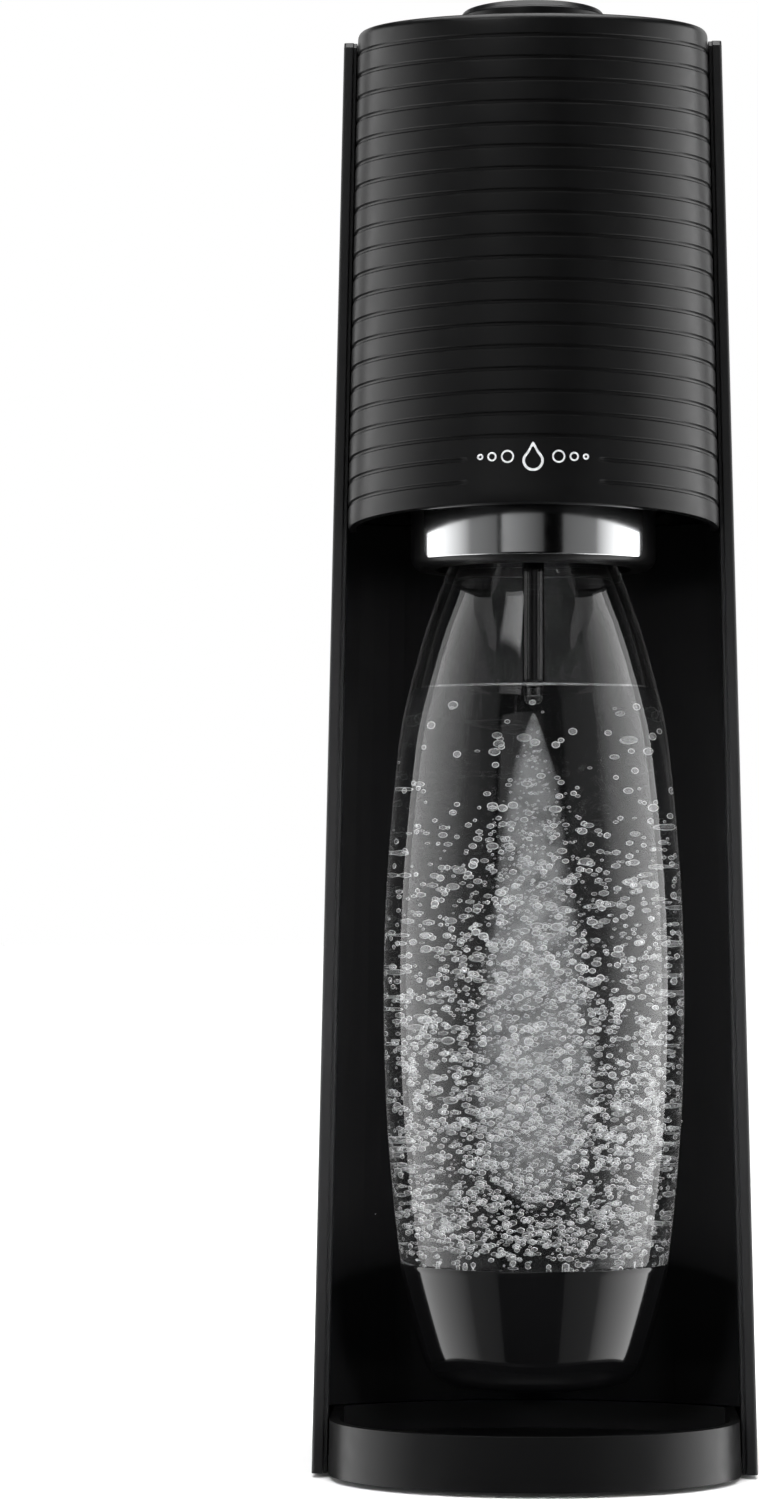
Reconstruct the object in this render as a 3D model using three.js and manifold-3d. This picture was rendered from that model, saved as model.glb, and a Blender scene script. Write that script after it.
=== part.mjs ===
// Countertop soda carbonator with its carbonating bottle in place and a gas cylinder inside.
// Millimetres, +Z up, front towards -Y. The origin is on the table under the middle of the machine.
// Shells that taper with height are drawn at their width on the table and then narrowed by narrow().
import * as THREE from "three";
import { mergeVertices } from "three/addons/utils/BufferGeometryUtils.js";
import Module from "manifold-3d";

const wasm = await Module();
wasm.setup();

// ---------------------------------------------------------------- driving dimensions
const HALF_WIDTH = 66.3; // half the width over the side panels, at the table
const TAPER = 0.000337; // share of the width lost per millimetre of height
const EDGE_Y = -50; // front edges of the side panels
const NOSE = 47.5; // bulge of the base and the head forward of those edges
const NOSE_TOP = 41; // bulge of the head at its top
const COVER_Y = 52.7; // front edges of the rear cover
const COVER_BULGE = 44.8;
const COVER_WALL = 2.5;

const PANEL = { foot: 1.2, top: 429.5, wall: 3, lip: 4.6, lipDepth: 8 };
const INNER_HALF = 61.3; // half the width of what stands between the panels' lips
const INSIDE_HALF = 62.9; // half the width of what stands between the panels' walls
const GAP = 0.4; // clearance between neighbouring mouldings

const PLINTH = { bottom: 1.5, top: 17.5, floor: 9, rim: 3, pocket: 4.8, back: 40.5 };
const SPINE = { bottom: 17.8, top: 287.2, flangeTop: 345.7, wall: 3, flange: 2.5 };
const SPINE_RADIUS = 105.8; // hollow front face of the spine, about an axis in front of it
const SPINE_AXIS_Y = 5 - SPINE_RADIUS;

const SHROUD = { bottom: 282, top: 432, wall: 2.5, tabY: -44, rise: 4, dip: 2 };
const HEAD_FLOOR = { bottom: 287.5, top: 290.5, rear: 11 };
const HEAD_FRAME = { bottom: 346, top: 349.7, front: 14, rear: 72 };
const TOP_PLATE = { bottom: 425.5, top: 428.6, well: 416, wellFloor: 418, wellWall: 2 };

const BOTTLE_Y = -44; // axis of the bottle, its holder and the button
const CYLINDER_Y = 48; // axis of the gas cylinder and its valve
const TILT_PIVOT = { y: -2, z: 300, radius: 2.5 };
const BUTTON = { radius: 23, skirt: 426.8, top: 439, stem: 5, stemBottom: 411.3 };
const LEVER = { bottom: 406, top: 411, half: 5.5, pivotY: 76, pivotZ: 408.5, pin: 2 };
const HANDLE = { z: 384, rest: THREE.MathUtils.degToRad(46), trunnion: 3 };
const BLOCK = { half: 25, front: 24, back: 64, bottom: 350, top: 404 };
const HOLDER = { radius: 36.75, cavity: 31, mouth: 29.5, bottom: 270.6, ceiling: 294, top: 300 };
const TRIM_HALF_ANGLE = THREE.MathUtils.degToRad(61);
const CYLINDER = { base: 12, radius: 30, neckTop: 339, valveTop: 390 };
const FOOT_SPOTS = [[-42, -60], [42, -60], [-42, 62], [42, 62]];
const SCREW_SPOTS = [[-48, -38], [48, -38], [-48, 44], [48, 44]];
const PANEL_SCREW_Y = 30;
const PANEL_SCREW_HEIGHTS = [60, 250];

// ---------------------------------------------------------------- finishes
const finish = (color, roughness, metalness = 0) =>
  new THREE.MeshStandardMaterial({ color, roughness, metalness });
const MATT_BLACK = finish(0x1d1d1f, 0.55);
const GLOSS_BLACK = finish(0x0b0b0c, 0.12);
const INNER_BLACK = finish(0x26262a, 0.6);
const GREY_PLASTIC = finish(0x55585c, 0.5);
const RUBBER = finish(0x1a1a1a, 0.85);
const CHROME = finish(0xd8dadd, 0.08, 1);
const STEEL = finish(0xa9adb2, 0.35, 1);
const BRASS = finish(0xb8944d, 0.35, 1);
const ALUMINIUM = finish(0xc4c8cc, 0.35, 1);
const PINK = finish(0xe6007e, 0.4);
const CLEAR = new THREE.MeshStandardMaterial({
  color: 0xdfe6ea, roughness: 0.05, transparent: true, opacity: 0.35,
});

// ---------------------------------------------------------------- solids
const ROUND = 28; // sides of a large circle
const SMALL_ROUND = 14; // sides of a pin or a screw
const CURVE = 12; // each curve of a plan outline has twice this many edges

function solidOfArrays(positions, triangles) {
  const make = (triVerts) =>
    new wasm.Manifold(
      new wasm.Mesh({ numProp: 3, vertProperties: positions, triVerts: new Uint32Array(triVerts) }),
    );
  const made = make(triangles);
  return made.volume() < 0 ? make([...triangles].reverse()) : made;
}

function solid(geometry) {
  const loose = geometry.index ? geometry.toNonIndexed() : geometry;
  const bare = new THREE.BufferGeometry();
  bare.setAttribute("position", loose.getAttribute("position"));
  const merged = mergeVertices(bare, 1e-4);
  const index = merged.index.array;
  const triangles = [];
  for (let i = 0; i < index.length; i += 3) {
    const [a, b, c] = index.subarray(i, i + 3);
    if (a !== b && b !== c && c !== a) triangles.push(a, b, c);
  }
  return solidOfArrays(merged.attributes.position.array, triangles);
}

/** The same solid with each corner moved by change(vector). */
function reshape(body, change) {
  const mesh = body.getMesh();
  const positions = new Float32Array(mesh.numVert * 3);
  const corner = new THREE.Vector3();
  for (let i = 0; i < mesh.numVert; i++) {
    corner.fromArray(mesh.vertProperties, i * mesh.numProp);
    change(corner);
    corner.toArray(positions, i * 3);
  }
  return solidOfArrays(positions, mesh.triVerts);
}

const widthAt = (z) => 1 - TAPER * z;
const narrow = (body) => reshape(body, (p) => (p.x *= widthAt(p.z)));

/** The nose leans back towards its top; its lower rim rises and its top dips to the front. */
const leanHead = (body) =>
  reshape(body, (p) => {
    if (p.y >= EDGE_Y) return;
    const up = (p.z - SHROUD.bottom) / (SHROUD.top - SHROUD.bottom);
    const forward = (EDGE_Y - p.y) / NOSE;
    p.y = EDGE_Y - (EDGE_Y - p.y) * THREE.MathUtils.lerp(1, NOSE_TOP / NOSE, up);
    p.z += forward * THREE.MathUtils.lerp(SHROUD.rise, -SHROUD.dip, up);
  });

function piece(name, body, material, position = [0, 0, 0]) {
  const mesh = body.getMesh();
  const positions = new Float32Array(mesh.numVert * 3);
  for (let i = 0; i < mesh.numVert; i++) {
    positions.set(mesh.vertProperties.subarray(i * mesh.numProp, i * mesh.numProp + 3), i * 3);
  }
  const geometry = new THREE.BufferGeometry();
  geometry.setAttribute("position", new THREE.BufferAttribute(positions, 3));
  geometry.setIndex(new THREE.BufferAttribute(new Uint32Array(mesh.triVerts), 1));
  geometry.computeVertexNormals();
  const made = new THREE.Mesh(geometry, material);
  made.name = name;
  made.position.set(...position);
  return made;
}

function group(...members) {
  const made = new THREE.Group();
  made.add(...members);
  return made;
}

/** A prism of a plan outline between two heights. */
function prism(shape, bottom, top, curveSegments = CURVE) {
  const options = { depth: top - bottom, bevelEnabled: false, curveSegments };
  return solid(new THREE.ExtrudeGeometry(shape, options).translate(0, 0, bottom));
}

function box(x0, x1, y0, y1, z0, z1) {
  const geometry = new THREE.BoxGeometry(x1 - x0, y1 - y0, z1 - z0);
  return solid(geometry.translate((x0 + x1) / 2, (y0 + y1) / 2, (z0 + z1) / 2));
}

/** A solid of revolution about Z; its profile is a list of [radius, height]. */
function turned(profile, segments = ROUND) {
  const onAxis = profile[0][0] === 0 && profile.at(-1)[0] === 0;
  const closed = onAxis ? profile : [...profile, profile[0]];
  const points = closed.map(([radius, height]) => new THREE.Vector2(radius, height));
  return solid(new THREE.LatheGeometry(points, segments).rotateX(Math.PI / 2));
}

const rod = (radius, bottom, top, segments = SMALL_ROUND) =>
  turned([[0, bottom], [radius, bottom], [radius, top], [0, top]], segments);

const ring = (inner, outer, bottom, top, segments = ROUND) =>
  turned([[inner, bottom], [outer, bottom], [outer, top], [inner, top]], segments);

const shifted = (body, x, y, z = 0) => body.translate([x, y, z]);

/** A rod along X, from x0 to x1, through (y, z). */
const crossRod = (radius, x0, x1, y, z, segments = SMALL_ROUND) =>
  shifted(rod(radius, x0, x1, segments).rotate([0, 90, 0]), 0, y, z);

/** A rod along Y, from y0 to y1, through (x, z). */
const deepRod = (radius, y0, y1, x, z) =>
  shifted(rod(radius, -y1, -y0).rotate([90, 0, 0]), x, 0, z);

// ---------------------------------------------------------------- plan outlines
/** Half an ellipse at the front with straight sides running back to rearY. */
function noseOutline(half, bulge, rearY) {
  const shape = new THREE.Shape();
  shape.moveTo(half, rearY);
  shape.lineTo(half, EDGE_Y);
  shape.absellipse(0, EDGE_Y, half, bulge, 0, -Math.PI, true);
  shape.lineTo(-half, rearY);
  shape.closePath();
  return shape;
}

/** A nose at the front, straight sides, and half an ellipse at the back. */
function fullOutline(half, bulge, rearHalf, rearBulge, stepY = EDGE_Y) {
  const shape = new THREE.Shape();
  shape.moveTo(half, stepY);
  if (stepY !== EDGE_Y) shape.lineTo(half, EDGE_Y);
  shape.absellipse(0, EDGE_Y, half, bulge, 0, -Math.PI, true);
  if (stepY !== EDGE_Y) shape.lineTo(-half, stepY);
  shape.lineTo(-rearHalf, stepY);
  shape.lineTo(-rearHalf, COVER_Y);
  shape.absellipse(0, COVER_Y, rearHalf, rearBulge, Math.PI, 0, true);
  shape.lineTo(rearHalf, stepY);
  shape.closePath();
  return shape;
}

/** Where the spine's front face, moved back by offset, crosses x. */
const spineFaceY = (x, offset = 0) =>
  SPINE_AXIS_Y + Math.sqrt((SPINE_RADIUS + offset) ** 2 - x * x);

/** The arc of the spine's front face from +half to -half, as the next stretch of a shape. */
function addSpineArc(shape, half, offset, fromRight) {
  const radius = SPINE_RADIUS + offset;
  const angle = Math.acos(half / radius);
  const [start, end] = fromRight ? [angle, Math.PI - angle] : [Math.PI - angle, angle];
  shape.absarc(0, SPINE_AXIS_Y, radius, start, end, !fromRight);
}

// ---------------------------------------------------------------- base
function makePlinth() {
  const { bottom, top, floor, rim, pocket, back } = PLINTH;
  const inner = INNER_HALF - rim;
  let body = prism(fullOutline(INNER_HALF, NOSE, INNER_HALF, back), bottom, top);

  const tray = new THREE.Shape();
  tray.moveTo(inner, spineFaceY(inner, -1));
  tray.lineTo(inner, EDGE_Y);
  tray.absellipse(0, EDGE_Y, inner, NOSE - rim, 0, -Math.PI, true);
  tray.lineTo(-inner, spineFaceY(inner, -1));
  addSpineArc(tray, inner, -1, false);
  body = body.subtract(prism(tray, floor, top + 1));

  const ledge = SPINE.wall + 1.5;
  const bay = new THREE.Shape();
  bay.moveTo(inner, COVER_Y);
  bay.absellipse(0, COVER_Y, inner, back - rim, 0, Math.PI, false);
  bay.lineTo(-inner, spineFaceY(inner, ledge));
  addSpineArc(bay, inner, ledge, false);
  bay.closePath();
  body = body.subtract(prism(bay, floor, top + 1));

  const pocketOutline = fullOutline(inner, NOSE - rim, inner, back - rim);
  body = narrow(body.subtract(prism(pocketOutline, bottom - 1, pocket)));
  for (const [x, y] of SCREW_SPOTS) body = body.subtract(shifted(rod(1.7, 4, 8), x, y));
  return piece("base_plinth", body, MATT_BLACK);
}

function makeBasePlate() {
  const inset = PLINTH.rim + GAP;
  const half = INNER_HALF - inset;
  const outline = fullOutline(half, NOSE - inset, half, PLINTH.back - inset);
  let body = narrow(prism(outline, 1.7, 4.4));
  for (const [x, y] of SCREW_SPOTS) {
    body = body.subtract(shifted(rod(1.7, 1, 5), x, y));
    body = body.subtract(shifted(rod(3.5, 1, 3.2), x, y));
  }
  for (const [x, y] of FOOT_SPOTS) body = body.subtract(shifted(rod(2.8, 1, 5), x, y));
  return piece("base_plate", body, INNER_BLACK);
}

const FOOT = [[0, 0], [6.4, 0], [7, 0.6], [7, 1.4], [2.5, 1.4], [2.5, 4], [0, 4]];
const BASE_SCREW = [[0, 1.9], [3.1, 1.9], [3.1, 2.9], [1.4, 2.9], [1.4, 7.6], [0, 7.6]];

function makeBase() {
  const cradle = [[0, 9.3], [34, 9.3], [34, 22], [31.2, 22], [31.2, 11.5], [0, 11.5]];
  const feet = FOOT_SPOTS.map(([x, y], i) =>
    piece(`foot_${i + 1}`, turned(FOOT, SMALL_ROUND), RUBBER, [x, y, 0]));
  const screws = SCREW_SPOTS.map(([x, y], i) =>
    piece(`base_screw_${i + 1}`, turned(BASE_SCREW, 12), STEEL, [x, y, 0]));
  return group(
    makePlinth(), makeBasePlate(), ...feet, ...screws,
    piece("cylinder_cradle", turned(cradle), INNER_BLACK, [0, CYLINDER_Y, 0]),
  );
}

// ---------------------------------------------------------------- spine and side panels
/** Where the side screw's head seats, at a height: just inside the spine's flange. */
const screwSeat = (z) => (INSIDE_HALF - SPINE.flange) * widthAt(z) - 0.3;

function cutSideScrews(body) {
  let cut = body;
  for (const z of PANEL_SCREW_HEIGHTS) {
    for (const side of [-1, 1]) {
      const [near, far] = [screwSeat(z) - 1, screwSeat(z) + 5.3].map((x) => x * side);
      const hole = crossRod(1.8, Math.min(near, far), Math.max(near, far), PANEL_SCREW_Y, z, 12);
      cut = cut.subtract(hole);
    }
  }
  return cut;
}

function makeSpine() {
  const flangeInner = INSIDE_HALF - SPINE.flange;
  const outline = new THREE.Shape();
  outline.moveTo(INSIDE_HALF, 50);
  outline.lineTo(INSIDE_HALF, spineFaceY(INSIDE_HALF));
  addSpineArc(outline, INSIDE_HALF, 0, true);
  outline.lineTo(-INSIDE_HALF, 50);
  outline.lineTo(-flangeInner, 50);
  outline.lineTo(-flangeInner, spineFaceY(flangeInner, SPINE.wall));
  addSpineArc(outline, flangeInner, SPINE.wall, false);
  outline.lineTo(flangeInner, 50);
  outline.closePath();
  let body = prism(outline, SPINE.bottom, SPINE.top);
  for (const [x0, x1] of [[flangeInner, INSIDE_HALF], [-INSIDE_HALF, -flangeInner]]) {
    body = body.add(box(x0, x1, HEAD_FRAME.front, 50, SPINE.top - 1, SPINE.flangeTop));
  }
  return piece("spine", cutSideScrews(narrow(body)), GLOSS_BLACK);
}

function makePanel(name, side) {
  const outer = HALF_WIDTH;
  const wall = outer - PANEL.wall;
  const lip = outer - PANEL.lip;
  const lipY = EDGE_Y + PANEL.lipDepth;
  const rear = COVER_Y - GAP;
  const corners = [
    [lip, EDGE_Y], [outer, EDGE_Y], [outer, rear], [wall, rear], [wall, lipY], [lip, lipY],
  ];
  const outline = new THREE.Shape(corners.map(([x, y]) => new THREE.Vector2(x * side, y)));
  return piece(name, cutSideScrews(narrow(prism(outline, PANEL.foot, PANEL.top))), GLOSS_BLACK);
}

function makeSideScrew(name, side, z) {
  const head = rod(3, -2.4, 0, 12);
  const body = head.add(rod(1.5, -0.5, 5, 12)).rotate([0, side * 90, 0]);
  return piece(name, body, STEEL, [side * screwSeat(z), PANEL_SCREW_Y, z]);
}

function makeSides() {
  const screws = [];
  for (const z of PANEL_SCREW_HEIGHTS) {
    for (const side of [-1, 1]) {
      screws.push(makeSideScrew(`side_screw_${screws.length + 1}`, side, z));
    }
  }
  return group(
    makeSpine(), makePanel("side_panel_left", -1), makePanel("side_panel_right", 1), ...screws,
  );
}

// ---------------------------------------------------------------- rear cover with its latch
const LATCH = { half: 12, bottom: 402.5, top: 413.5, travelRoom: 0.4 };

function makeRear() {
  const outline = new THREE.Shape();
  const innerHalf = HALF_WIDTH - COVER_WALL;
  outline.moveTo(HALF_WIDTH, COVER_Y);
  outline.absellipse(0, COVER_Y, HALF_WIDTH, COVER_BULGE, 0, Math.PI, false);
  outline.lineTo(-innerHalf, COVER_Y);
  outline.absellipse(0, COVER_Y, innerHalf, COVER_BULGE - COVER_WALL, Math.PI, 0, true);
  outline.closePath();
  const room = LATCH.travelRoom;
  const window = box(
    -LATCH.half - room, LATCH.half + room, 85, 99, LATCH.bottom - room, LATCH.top + room,
  );
  const shell = narrow(prism(outline, PLINTH.bottom, PANEL.top)).subtract(window);
  const latch = box(-LATCH.half, LATCH.half, 89, 97.4, LATCH.bottom, LATCH.top)
    .add(box(-LATCH.half - 2.5, LATCH.half + 2.5, 88, 90, LATCH.bottom - 2.5, LATCH.top + 2.5));
  return group(piece("rear_cover", shell, MATT_BLACK), piece("latch_button", latch, GREY_PLASTIC));
}

// ---------------------------------------------------------------- head
function makeShroud() {
  const outline = noseOutline(INNER_HALF, NOSE, SHROUD.tabY);
  const hollow = noseOutline(INNER_HALF - SHROUD.wall, NOSE - SHROUD.wall, SHROUD.tabY + 5);
  const shell = prism(outline, SHROUD.bottom, SHROUD.top, 18)
    .subtract(prism(hollow, SHROUD.bottom - 1, SHROUD.top + 1, 18));
  return piece("head_shroud", narrow(leanHead(shell)), MATT_BLACK);
}

function makeHeadFloor() {
  const half = INNER_HALF - SHROUD.wall - GAP;
  const front = noseOutline(half, NOSE - SHROUD.wall - 1, HEAD_FLOOR.rear);
  const wings = box(
    -INSIDE_HALF + 0.3, INSIDE_HALF - 0.3, -41.6, HEAD_FLOOR.rear, HEAD_FLOOR.bottom, HEAD_FLOOR.top,
  );
  let body = narrow(prism(front, HEAD_FLOOR.bottom, HEAD_FLOOR.top).add(wings));
  const throat = new THREE.Shape();
  const throatRadius = 39;
  throat.absarc(0, BOTTLE_Y, throatRadius, 0, Math.PI, false);
  throat.absarc(0, BOTTLE_Y - 6, throatRadius, Math.PI, 2 * Math.PI, false);
  throat.closePath();
  body = body.subtract(prism(throat, HEAD_FLOOR.bottom - 1, HEAD_FLOOR.top + 1));
  for (const [x0, x1] of [[-26, -20], [20, 26]]) {
    body = body.add(box(x0, x1, TILT_PIVOT.y - 6, TILT_PIVOT.y + 6, HEAD_FLOOR.top - 1, 306));
  }
  const bore = crossRod(TILT_PIVOT.radius + 0.35, -30, 30, TILT_PIVOT.y, TILT_PIVOT.z);
  return piece("head_floor", body.subtract(bore), INNER_BLACK);
}

function makeHeadFrame() {
  const half = INSIDE_HALF - 0.3;
  let body = narrow(
    box(-half, half, HEAD_FRAME.front, HEAD_FRAME.rear, HEAD_FRAME.bottom, HEAD_FRAME.top),
  );
  // the rear corners are cut off to stay inside the rear cover
  for (const side of [-1, 1]) {
    const corner = new THREE.Shape();
    corner.moveTo(side * 70, 52);
    corner.lineTo(side * 70, 80);
    corner.lineTo(side * 36, 80);
    corner.lineTo(side * 36, 74);
    corner.lineTo(side * 52, 52);
    body = body.subtract(prism(corner, HEAD_FRAME.bottom - 1, HEAD_FRAME.top + 1));
  }
  const fork = shifted(rod(17.4, HEAD_FRAME.bottom - 1, HEAD_FRAME.top + 1, ROUND), 0, CYLINDER_Y);
  const way = box(-17.4, 17.4, CYLINDER_Y, 90, HEAD_FRAME.bottom - 1, HEAD_FRAME.top + 1);
  body = body.subtract(fork).subtract(way);
  for (const side of [-1, 1]) {
    body = body.subtract(shifted(rod(1.8, 340, 352), side * 21, 30));
  }
  return piece("head_frame", body, INNER_BLACK);
}

function makeTopPlate() {
  const noseHalf = INNER_HALF - SHROUD.wall - GAP;
  const noseBulge = NOSE_TOP - SHROUD.wall - GAP - 0.2;
  const rearBulge = COVER_BULGE - COVER_WALL - GAP - 0.5;
  const outline = fullOutline(noseHalf, noseBulge, INSIDE_HALF, rearBulge, SHROUD.tabY + 2.6);
  let body = narrow(prism(outline, TOP_PLATE.bottom, TOP_PLATE.top));
  const bore = BUTTON.radius + 0.6;
  const cup = ring(5.5, bore + TOP_PLATE.wellWall, TOP_PLATE.well, TOP_PLATE.bottom + 1);
  const guide = ring(5.5, 8, TOP_PLATE.well - 4, TOP_PLATE.well + 1);
  body = body.add(shifted(cup.add(guide), 0, BOTTLE_Y));
  body = body.subtract(shifted(rod(bore, TOP_PLATE.wellFloor, 440, ROUND), 0, BOTTLE_Y));
  return piece("top_plate", body, MATT_BLACK);
}

/** A helical spring about Z. */
function coil(radius, wire, bottom, top, turns) {
  class Helix extends THREE.Curve {
    getPoint(t) {
      const angle = t * turns * 2 * Math.PI;
      const height = THREE.MathUtils.lerp(bottom, top, t);
      return new THREE.Vector3(radius * Math.cos(angle), radius * Math.sin(angle), height);
    }
  }
  const section = new THREE.Shape();
  section.absarc(0, 0, wire, 0, 2 * Math.PI, false);
  return solid(
    new THREE.ExtrudeGeometry(section, {
      steps: Math.round(turns * 12), curveSegments: 3, extrudePath: new Helix(),
    }),
  );
}

function makeButton() {
  const { radius, skirt, top, stem, stemBottom } = BUTTON;
  const crown = top - 3;
  const cap = turned([
    [0, stemBottom], [stem, stemBottom], [stem, crown], [radius - 2.5, crown],
    [radius - 2.5, skirt], [radius, skirt], [radius, top - 1.6], [radius - 1.6, top], [0, top],
  ]);
  const spring = coil(9, 0.8, TOP_PLATE.wellFloor + 1.2, crown - 1.2, 4.5);
  const at = [0, BOTTLE_Y, 0];
  return group(
    piece("carbonating_button", cap, MATT_BLACK, at), piece("button_spring", spring, STEEL, at),
  );
}

// ---------------------------------------------------------------- bottle holder and nozzle
/** A sector of a ring about Z that faces the front. */
function frontSector(inner, outer, halfAngle, bottom, top) {
  const shape = new THREE.Shape();
  const [start, end] = [-Math.PI / 2 - halfAngle, -Math.PI / 2 + halfAngle];
  shape.absarc(0, 0, outer, start, end, false);
  shape.absarc(0, 0, inner, end, start, true);
  shape.closePath();
  return prism(shape, bottom, top);
}

function makeHolderCup() {
  const { radius, cavity, mouth, bottom, ceiling, top } = HOLDER;
  let body = turned([
    [mouth, bottom], [radius - 1.8, bottom], [radius, bottom + 1.8], [radius, top], [14, top],
    [14, 314], [4.2, 314], [4.2, ceiling], [cavity, ceiling], [cavity, bottom + 2.6],
    [mouth, bottom + 2.6],
  ]);
  body = body.subtract(frontSector(35.7, 38, TRIM_HALF_ANGLE + 0.01, 272.3, 289.3));
  const pivotY = TILT_PIVOT.y - BOTTLE_Y;
  for (const [x0, x1] of [[-19, -14], [14, 19]]) {
    body = body.add(box(x0, x1, 26, pivotY, 294.5, 305.5));
    body = body.add(crossRod(5.5, x0, x1, pivotY, TILT_PIVOT.z, 20));
  }
  body = body.subtract(crossRod(TILT_PIVOT.radius + 0.35, -25, 25, pivotY, TILT_PIVOT.z));
  return body;
}

function makeHolder() {
  const tube = turned([
    [1.4, 237], [2.4, 236], [2.4, 231.5], [3.35, 231.5], [3.35, 314.3], [5, 314.3], [5, 323],
    [1.4, 323],
  ], SMALL_ROUND);
  const tip = turned([
    [0, 227.7], [1.2, 227.7], [2.1, 228.6], [2.1, 235.6], [0, 235.6],
  ], 14);
  const nut = rod(8.5, 314.6, 319.5, 6).subtract(rod(5.3, 314, 320));
  const trim = frontSector(36, 37.1, TRIM_HALF_ANGLE, 272.6, 289);
  const at = [0, BOTTLE_Y, 0];
  return group(
    piece("bottle_holder", makeHolderCup(), GLOSS_BLACK, at),
    piece("chrome_trim", trim, CHROME, at),
    piece("bottle_seal", ring(8, 17, 289.9, 293.7), RUBBER, at),
    piece("nozzle_tube", tube, MATT_BLACK, at),
    piece("nozzle_tip", tip, CLEAR, at),
    piece("nozzle_nut", nut, STEEL, at),
    piece("tilt_pin", crossRod(TILT_PIVOT.radius, -27, 26.4, TILT_PIVOT.y, TILT_PIVOT.z), STEEL),
  );
}

// ---------------------------------------------------------------- bottle
const BOTTLE_WALL = 3.2;
/** Outer profile of the clear bottle above its base cup, as [radius, height]. */
const BOTTLE_SIDE = [
  [39.7, 62.9], [43.4, 97], [44.9, 132], [44.6, 165], [42.6, 197], [39.1, 226], [33.6, 248],
  [24.2, 273.8], [20, 279.5],
];
const CUP_SIDE = [[27.4, 27.5], [30.7, 30.5], [33, 35.2], [35.4, 42.7], [38.2, 53.1], [40.4, 62.4]];

function makeBottle() {
  const foot = [[24, 33], [31, 38.8], [36, 53], [38.2, 61.8], [38.2, 62.9]];
  const neck = [[16, 281.5], [16, 283.5], [18.4, 284], [18.4, 286], [15.8, 286.5], [15.8, 289.5]];
  const thinner = ([radius, height]) => [radius - BOTTLE_WALL, height];
  const body = turned([
    [0, 32], ...foot, ...BOTTLE_SIDE, ...neck,
    [13.2, 289.5], [13.2, 281], ...[...BOTTLE_SIDE].reverse().map(thinner),
    [36, 61.8], [33.8, 53.5], [29, 40.5], [23, 35.4], [0, 34.2],
  ]);
  const cup = turned([
    [0, 28], [20, 28], [22, 26.8], ...CUP_SIDE, [38.7, 62.4],
    ...[...CUP_SIDE].reverse().slice(1).map(([radius, height]) => [radius - 1.7, height + 0.6]),
    [0, 30.6],
  ]);
  const at = [0, BOTTLE_Y, 0];
  return group(
    piece("bottle_body", body, CLEAR, at), piece("bottle_base_cup", cup, GLOSS_BLACK, at),
  );
}

// ---------------------------------------------------------------- gas cylinder
function makeCylinder() {
  const { base, radius, neckTop, valveTop } = CYLINDER;
  const body = turned([
    [0, base], [26, base], [29, base + 1.4], [radius, base + 4.5], [radius, 301], [28.5, 312.5],
    [23.5, 324], [17, 333], [15.8, neckTop], [9, neckTop], [9, 327], [13, 323], [24.5, 309],
    [26.5, 299], [26.5, base + 7], [22, base + 3.5], [0, base + 3.5],
  ]);
  const valve = turned([
    [0, 328], [8.6, 328], [8.6, neckTop + 0.3], [16.4, neckTop + 0.3], [16.4, 356], [18.3, 356],
    [18.3, 359], [14, 359], [14, 373], [10, 373], [10, 380], [9.2, 381], [9.2, 383], [10, 384],
    [10, valveTop - 1], [9, valveTop], [2.2, valveTop], [2.2, 374], [0, 374],
  ]);
  const sleeve = ring(radius + 0.3, radius + 0.8, 16.8, 268);
  const at = [0, CYLINDER_Y, 0];
  return group(
    piece("cylinder_body", body, ALUMINIUM, at),
    piece("cylinder_valve", valve, BRASS, at),
    piece("cylinder_sleeve", sleeve, PINK, at),
    piece("valve_pin", rod(1.6, 377, 392), STEEL, at),
  );
}

// ---------------------------------------------------------------- connector, lever and lock handle
function makeValveBlock() {
  let body = box(-BLOCK.half, BLOCK.half, BLOCK.front, BLOCK.back, BLOCK.bottom, BLOCK.top);
  const slots = [
    [17, BLOCK.bottom - 1, 355.7], [19, 355.6, 360], [15, 359.9, 373.6], [11, 373.5, 391.5],
  ];
  for (const [radius, bottom, top] of slots) {
    body = body.subtract(shifted(rod(radius, bottom, top, ROUND), 0, CYLINDER_Y));
    body = body.subtract(box(-radius, radius, CYLINDER_Y, BLOCK.back + 1, bottom, top));
  }
  body = body.subtract(shifted(rod(9.7, 391, BLOCK.top + 1, ROUND), 0, CYLINDER_Y));
  body = body.subtract(box(-6.5, 6.5, 20, 66, 402, BLOCK.top + 1)); // room for the lever
  for (const x of [-12, 12]) body = body.subtract(deepRod(3.3, 20, 30, x, 396));
  for (const side of [-1, 1]) {
    const [x0, x1] = side < 0 ? [-10, -6.5] : [6.5, 10];
    body = body.add(box(x0, x1, 59, 82, 396, 414));
    const [near, far] = side < 0 ? [-30, -24] : [24, 30];
    body = body.add(crossRod(HANDLE.trunnion, near, far, CYLINDER_Y, HANDLE.z));
    body = body.subtract(shifted(rod(1.3, 349, 357), side * 21, 30));
  }
  body = body.subtract(crossRod(LEVER.pin + 0.3, -12, 12, LEVER.pivotY, LEVER.pivotZ));
  return piece("valve_block", body, GREY_PLASTIC);
}

function makeLever() {
  const bar = new THREE.Shape();
  bar.moveTo(-LEVER.half, 80);
  bar.lineTo(-LEVER.half, BOTTLE_Y + 5);
  bar.absarc(0, BOTTLE_Y, 7, 2.35, Math.PI * 2 + 0.79, false);
  bar.lineTo(LEVER.half, 80);
  bar.closePath();
  let body = prism(bar, LEVER.bottom, LEVER.top);
  body = body.add(crossRod(4.5, -LEVER.half, LEVER.half, LEVER.pivotY, LEVER.pivotZ, 20));
  body = body.subtract(crossRod(LEVER.pin + 0.3, -12, 12, LEVER.pivotY, LEVER.pivotZ));
  return piece("actuating_lever", body, STEEL);
}

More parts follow.
